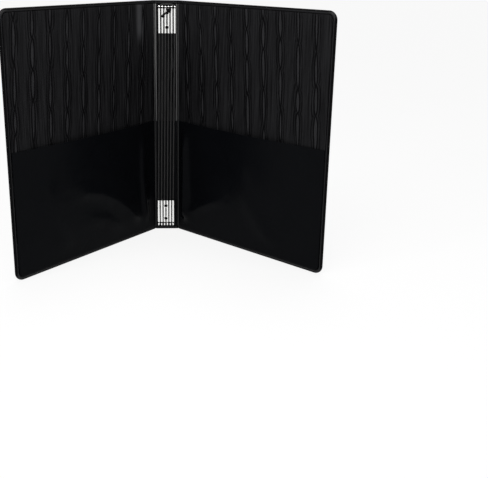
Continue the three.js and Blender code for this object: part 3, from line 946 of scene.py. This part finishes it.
ARCH_STEPS = 18
ARCH_END = 0.001
PLATE_STEP = 0.004
DRILL_SIDES = 32
DRILL_LENGTH = 0.02
DRILL_CLEARANCE = 0.0001
EDGE_ROUNDING = 0.00006
EDGE_ANGLE = math.radians(50)
METAL_SHARP = math.radians(35)


def plate_point(plate, across, front, inward):
    """The row-frame place of a point on a string plate."""
    x = SPINE_MIDDLE.x + plate["offset"] + across
    y = SPINE_MIDDLE.y - MID_DEPTH + plate["seat"] - front
    return Vector((x, y, plate["end"] - plate["outward"] * inward))


def rib_centre(rib):
    return (rib - (RIB_COUNT - 1) / 2) * RIB_PITCH


def rib_line(radius, floor):
    """One face of the pressed sheet across all the ribs, each a squared arch, as across and front."""
    points = []
    for rib in range(RIB_COUNT):
        centre = rib_centre(rib)
        points.append((centre - radius, floor))
        for turn in np.linspace((1 - ARCH_END) * math.pi, ARCH_END * math.pi, ARCH_STEPS):
            across = math.copysign(abs(math.cos(turn)) ** ARCH_SQUARENESS, math.cos(turn))
            front = math.sin(turn) ** ARCH_SQUARENESS
            points.append((centre + radius * across, CORD_HEIGHT + radius * front))
        points.append((centre + radius, floor))
    return points


def rivet_places():
    inner = RIB_LENGTH - RIVET_INSET
    return (inner, inner - RIVET_SPACING)


TAB_HALF_WIDTH = 0.00105
TAB_CROWN = 0.0005
TAB_STEPS = 6
TAB_STATIONS = 9
# The upper line of a tab, as inward and low, but for its tip: the rib's end, the dip and the knuckle's rise
TAB_ROOT = [(0.0010, 0.0), (0.0001, 0.0), (-0.0008, 0.0014), (-0.0019, 0.0)]
TAB_BROW = (0.0008, 0.0002)
TAB_TIP_DROP = 0.0013


def tab_section(length):
    """The side view of a rib's rounded tab, as front and inward, once round."""
    brow = (TAB_BROW[0] - length, TAB_BROW[1])
    tip = (-length, TAB_TIP_DROP)
    knots = [*TAB_ROOT, brow, tip]
    upper = []
    for (start, low), (end, high) in zip(knots, knots[1:]):
        for t in np.linspace(0, 1, TAB_STEPS, endpoint=False):
            ease = (1 - math.cos(math.pi * t)) / 2
            upper.append((RIB_HEIGHT - low - (high - low) * ease, start + (end - start) * t))
    upper.append((RIB_HEIGHT - TAB_TIP_DROP, -length))
    lower = [(front - SHEET_METAL, inward) for front, inward in upper[::-1]]
    return upper + lower


def tab_crown(across):
    """How far a tab falls away beside its middle."""
    return TAB_CROWN * (across / TAB_HALF_WIDTH) ** 2


def prism(points_at, count, stations):
    """Points and faces of a closed prism, from a section of so many points at each station."""
    points = []
    for station in stations:
        points += [points_at(i, station) for i in range(count)]
    return points, ring_faces(len(stations), count) + end_caps(len(stations), count)


def metal_piece(name, points, faces, sharp=METAL_SHARP):
    return make_object(name, points, faces, [(p.x, p.z) for p in points], NICKEL, sharp)


def string_plate(name, plate):
    section = rib_line(ARCH_OUTER, SHEET_METAL) + rib_line(ARCH_INNER, 0)[::-1]

    def place(i, inward):
        return plate_point(plate, *section[i], inward)

    piece = metal_piece(name, *prism(place, len(section), steps(0, RIB_LENGTH, PLATE_STEP)))
    for inward in rivet_places():
        drill(piece, plate_point(plate, 0, RIB_HEIGHT / 2, inward), RIVET_SHANK + DRILL_CLEARANCE)
    shade_valleys(piece, plate)
    return piece


def plate_tabs(name, plate):
    """The rounded tabs beyond the ribs' outer ends."""
    tab = tab_section(plate["tab"])
    points, faces = [], []
    for rib in range(RIB_COUNT):
        centre = rib_centre(rib)

        def place(i, across):
            front, inward = tab[i]
            return plate_point(plate, centre + across, front - tab_crown(across), inward)

        stations = np.linspace(-TAB_HALF_WIDTH, TAB_HALF_WIDTH, TAB_STATIONS)
        add_part(points, faces, *prism(place, len(tab), stations))
    piece = metal_piece(name, points, faces)
    shade_valleys(piece, plate)
    return piece


def shade_valleys(piece, plate):
    """Gives painted shade, a darker and rougher plating, to what lies low on the plate, and rounds the
    sharp edges a little.
    """
    valley = plate_point(plate, 0, VALLEY_TOP, 0).y
    dress_faces(piece, VALLEY_SHADE, lambda polygon: polygon.center.y > valley)
    bevel = piece.modifiers.new("edges", "BEVEL")
    bevel.width = EDGE_ROUNDING
    bevel.segments = 2
    bevel.limit_method = "ANGLE"
    bevel.angle_limit = EDGE_ANGLE


def drill(piece, centre, radius):
    """Cuts a round hole through the piece along Y."""
    bpy.ops.mesh.primitive_cylinder_add(
        vertices=DRILL_SIDES,
        radius=radius,
        depth=DRILL_LENGTH,
        location=centre,
        rotation=(math.pi / 2, 0, 0),
    )
    tool = bpy.context.object
    cut = piece.modifiers.new("hole", "BOOLEAN")
    cut.operation = "DIFFERENCE"
    cut.solver = "EXACT"
    cut.object = tool
    bpy.context.view_layer.update()
    dependency = bpy.context.evaluated_depsgraph_get()
    mesh = bpy.data.meshes.new_from_object(piece.evaluated_get(dependency))
    piece.modifiers.clear()
    piece.data = mesh
    bpy.data.objects.remove(tool)


# Rivets, turned about an axis along Y

RIVET_SIDES = 40
RIVET_RING_HEIGHT = 0.00045
RIVET_CAP = 0.0035
RIVET_CAP_HEIGHT = 0.0011
RIVET_SHARP = math.radians(50)
BORE_MOUTH = 0.0001
BORE_FACING = 0.5
# The rolled ring from the bore, as outward and raised, and from its rim, as inward and raised
BORE_FLARE = [(0, 0.0001), (0.00006, 0.00037), (0.00018, RIVET_RING_HEIGHT)]
RING_ROLL = [(0.00012, 0.00039), (0.00004, 0.00029), (0, 0.00015), (0.00010, 0)]
# The cap from its rim, as inward and raised, and the radius of its flat top
CAP_ROLL = [(0.0001, 0), (0, 0.0001), (0.0001, 0.0004), (0.0005, 0.0007), (0.0014, 0.00098)]
CAP_FLAT = 0.0009


def rivet_profile(top, cap):
    """Half of a rivet's section, as radius and front: the bore, the rolled ring, the shank and the cap."""
    bore = [(0, cap), (RIVET_BORE, cap)]
    flare = [(RIVET_BORE + outward, top + raised) for outward, raised in BORE_FLARE]
    ring = [(RIVET_RING - inward, top + raised) for inward, raised in RING_ROLL]
    shank = [(RIVET_SHANK, top), (RIVET_SHANK, cap)]
    rim = [(RIVET_CAP - inward, cap - raised) for inward, raised in CAP_ROLL]
    crown = [(CAP_FLAT, cap - RIVET_CAP_HEIGHT), (0, cap - RIVET_CAP_HEIGHT)]
    return bore + flare + ring + shank + rim + crown


def rivet(name, plate, inward):
    top = RIB_HEIGHT + SEAT_GAP
    cap = -DEPTH + plate["seat"] - SEAT_GAP
    profile = rivet_profile(top, cap)
    points, faces = [], []
    for k in range(RIVET_SIDES):
        turn = math.tau * k / RIVET_SIDES
        for radius, front in profile:
            across, along = radius * math.cos(turn), radius * math.sin(turn)
            points.append(plate_point(plate, across, front, inward + along))
    count = len(profile)
    for k in range(RIVET_SIDES):
        after = (k + 1) % RIVET_SIDES
        for i in range(count - 1):
            faces.append([k * count + i, k * count + i + 1, after * count + i + 1, after * count + i])
    piece = metal_piece(name, points, faces, RIVET_SHARP)
    paint_bore_shade(piece, plate_point(plate, 0, top + RIVET_RING_HEIGHT - BORE_MOUTH, inward))
    return piece


def paint_bore_shade(piece, mouth):
    """Gives painted shade, a dark matt finish, to the rivet's faces inside the bore, behind its mouth."""

    def in_bore(polygon):
        away = math.hypot(polygon.center.x - mouth.x, polygon.center.z - mouth.z)
        near = away < RIVET_BORE + BORE_MOUTH / 2
        return near and polygon.center.y > mouth.y and polygon.normal.y < BORE_FACING

    dress_faces(piece, BORE_SHADE, in_bore)


def make_metal():
    for name, plate, first in (("top", TOP_PLATE, 1), ("bottom", BOTTOM_PLATE, 3)):
        piece = string_plate(f"{name}_plate_metal", plate)
        finish_piece(piece, "spine", [f"{name}_string_plate"])
        finish_piece(plate_tabs(f"{name}_plate_tabs", plate), "spine")
        for i, inward in enumerate(rivet_places()):
            pin = rivet(f"rivet_{first + i}_metal", plate, inward)
            finish_piece(pin, "spine", [f"rivet_{first + i}"])


# Elastic cord

CORD_SIDES = 12
CORD_RUN_OUT = 0.0047
CORD_GAP = 0.0003
CORD_ENTRY = 0.001
TURN_STEPS = 13
QUARTER_STEPS = 7
STRAND_STEPS = 25
PATH_STEPS = 8
KNOT_CORD = 0.00115
TAIL_CORD = 0.00110
KNOT_SIZE = 0.0018
KNOT_STEPS = 60
KNOT_LIFT = 0.0009
TAIL_LIFT = 0.0006
KNOT_CLEARANCE = 0.0006
# Places of the knot, of the cord on its way to it, and of its tail, as across and inward
KNOT_PLACE = (0.0022, 0.0024)
STEM_PLACE = (0.0036, -0.0004)
TAIL_PLACES = [
    (-0.0008, 0.0052), (-0.0040, 0.0078), (-0.0061, 0.0092), (-0.0056, 0.0101), (-0.0040, 0.0100)
]


def tube(points, radius, closed=False):
    """Points, faces and map places of a round tube along the points."""
    path = [Vector(p) for p in points]
    count = len(path)
    normal = None
    out, uvs = [], []
    run = 0.0
    for i, p in enumerate(path):
        before = path[i - 1] if i or closed else p
        after = path[(i + 1) % count] if i < count - 1 or closed else p
        tangent = (after - before).normalized()
        if normal is None:
            normal = tangent.orthogonal().normalized()
        normal = (normal - tangent * normal.dot(tangent)).normalized()
        side = tangent.cross(normal)
        if i:
            run += (p - path[i - 1]).length
        for k in range(CORD_SIDES):
            turn = math.tau * k / CORD_SIDES
            outward = normal * math.cos(turn) + side * math.sin(turn)
            out.append(p + outward * radius)
            uvs.append((2 * abs(k / CORD_SIDES - 0.5), run))
    faces = ring_faces(count, CORD_SIDES, closed)
    if not closed:
        faces += end_caps(count, CORD_SIDES)
    return out, faces, uvs


def cord_turn(plate, start, end):
    """The cord's turn from one rib to another beyond the plate's outer end."""
    centre = (rib_centre(start) + rib_centre(end)) / 2
    radius = (rib_centre(end) - rib_centre(start)) / 2
    points = []
    for a in np.linspace(0, math.pi, TURN_STEPS):
        out = CORD_GAP + abs(radius) * math.sin(a)
        points.append(plate_point(plate, centre - radius * math.cos(a), CORD_HEIGHT, -out))
    return points


def quarter_turn(plate, rib, sense):
    """The cord's bend from a rib towards the run across the plate's end."""
    points = []
    for a in np.linspace(0, math.pi / 2, QUARTER_STEPS):
        across = rib_centre(rib) + sense * CORD_RUN_OUT * (1 - math.cos(a))
        points.append(plate_point(plate, across, CORD_HEIGHT, -CORD_GAP - CORD_RUN_OUT * math.sin(a)))
    return points


def cord_run(plate, start, end):
    """The run across the plate's end, from one outer rib to the other, with a bend at each side."""
    sense = math.copysign(1, end - start)
    return quarter_turn(plate, start, sense) + quarter_turn(plate, end, -sense)[::-1]


def strand(rib):
    """One length of cord through a rib of each plate, from the top to the bottom."""
    places = [
        (TOP_PLATE, CORD_ENTRY),
        (TOP_PLATE, RIB_LENGTH),
        (BOTTOM_PLATE, RIB_LENGTH),
        (BOTTOM_PLATE, CORD_ENTRY),
    ]
    ends = [plate_point(plate, rib_centre(rib), CORD_HEIGHT, inward) for plate, inward in places]
    middle = [ends[1].lerp(ends[2], t) for t in np.linspace(0, 1, STRAND_STEPS)]
    return [ends[0], *middle, ends[3]]


def cord_ring():
    """The whole route: down and up through the ribs in turn, and once across the top plate's end."""
    return [
        *cord_turn(TOP_PLATE, 3, 4),
        *strand(4),
        *cord_turn(BOTTOM_PLATE, 4, 5),
        *strand(5)[::-1],
        *cord_run(TOP_PLATE, 5, 0),
        *strand(0),
        *cord_turn(BOTTOM_PLATE, 0, 1),
        *strand(1)[::-1],
        *cord_turn(TOP_PLATE, 1, 2),
        *strand(2),
        *cord_turn(BOTTOM_PLATE, 2, 3),
        *strand(3)[::-1],
    ]


def overhand_knot(centre):
    """A closed trefoil loop, flat to the plate."""
    points = []
    for t in np.linspace(0, math.tau, KNOT_STEPS, endpoint=False):
        across = math.sin(t) + 2 * math.sin(2 * t)
        along = math.cos(t) - 2 * math.cos(2 * t)
        lift = -math.sin(3 * t)
        points.append(centre + Vector((across, lift, along)) * (KNOT_SIZE / 3))
    return points


def smooth_path(points):
    """Points on a smooth curve through the points given."""
    ends = [points[0] * 2 - points[1], *points, points[-1] * 2 - points[-2]]
    out = []
    for a, b, c, d in zip(ends, ends[1:], ends[2:], ends[3:]):
        slope = c - a
        bow = 2 * a - 5 * b + 4 * c - d
        twist = 3 * b - a - 3 * c + d
        for t in np.linspace(0, 1, PATH_STEPS, endpoint=False):
            out.append(0.5 * (2 * b + slope * t + bow * t**2 + twist * t**3))
    return out + [points[-1]]


def make_knot():
    """The knot of the cord's ends on the top plate, with the cord that comes into it and its tail."""
    front = RIB_HEIGHT + KNOT_CLEARANCE
    knot_across, knot_inward = KNOT_PLACE
    stem_across, stem_inward = STEM_PLACE
    seat = plate_point(TOP_PLATE, knot_across, front + KNOT_LIFT, knot_inward)
    crest = cord_turn(TOP_PLATE, 3, 4)[TURN_STEPS // 2]
    stem = [crest, plate_point(TOP_PLATE, stem_across, front + TAIL_LIFT, stem_inward), seat]
    tail = [seat]
    for across, inward in TAIL_PLACES:
        tail.append(plate_point(TOP_PLATE, across, front + TAIL_LIFT, inward))
    points, faces, uvs = tube(overhand_knot(seat), KNOT_CORD, closed=True)
    for path in (stem, tail):
        more, more_faces, more_uvs = tube(smooth_path(path), TAIL_CORD)
        add_part(points, faces, more, more_faces)
        uvs += more_uvs
    # The knot and its tail are painted darker than the cord: painted shade
    knot = make_object("elastic_cord_knot", points, faces, uvs, KNOT_SHADE_ELASTIC)
    finish_piece(knot, "spine")


def make_cord():
    points, faces, uvs = tube(cord_ring(), CORD_RADIUS, closed=True)
    ring = make_object("elastic_cord_braid", points, faces, uvs, ELASTIC)
    finish_piece(ring, "spine", ["elastic_cord"])
    make_knot()


def dress_boards():
    """Gives the board's fibres to the frame's own boards."""
    for node in ("spine_board", "left_cover_board", "right_cover_board"):
        board = frame["nodes"][node]
        board.data.materials.clear()
        board.data.materials.append(BOARD)


# Floor and light

FLOOR_SIZE = 12.0
LIGHT_TARGET = Vector((0, 0, 0.15))


def make_floor():
    half = FLOOR_SIZE / 2
    corners = [(-half, -half, 0), (half, -half, 0), (half, half, 0), (-half, half, 0)]
    mesh = bpy.data.meshes.new("floor")
    mesh.from_pydata(corners, [], [(0, 1, 2, 3)])
    mesh.materials.append(floor_material())
    add_object("floor", mesh)


def make_light(name, kind, place, power, **settings):
    """A light aimed at the folder, with the settings that its kind has."""
    data = bpy.data.lights.new(name, kind)
    data.energy = power
    for setting, value in settings.items():
        setattr(data, setting, value)
    light = add_object(name, data)
    light.location = place
    light.rotation_euler = (LIGHT_TARGET - Vector(place)).to_track_quat("-Z", "Y").to_euler()


def make_world(strength, seen_strength):
    """A white surround, brighter where it is seen than as light on the object."""
    world = bpy.data.worlds.new("studio")
    bpy.context.scene.world = world
    world.use_nodes = True
    tree = world.node_tree
    background = tree.nodes["Background"]
    background.inputs["Color"].default_value = (1, 1, 1, 1)
    brightness = seen_directly(tree) * (seen_strength - strength) + strength
    tree.links.new(brightness.socket, background.inputs["Strength"])


make_leatherette()
make_lining()
make_pockets()
make_metal()
make_cord()
dress_boards()
make_floor()
make_light("key", "AREA", place=(-0.10, -0.50, 0.80), power=2.8, shape="DISK", size=0.4)
make_light("window", "AREA", place=(-1.10, -0.75, 0.70), power=5.4, shape="DISK", size=0.4)
make_light("fill", "AREA", place=(1.15, -0.60, 0.78), power=4.0, shape="DISK", size=0.5)
make_light("top", "SUN", place=(0.1, 0.35, 1.3), power=1.2, angle=math.radians(34))
make_world(strength=0.25, seen_strength=0.93)
bpy.context.scene.view_settings.view_transform = "Standard"
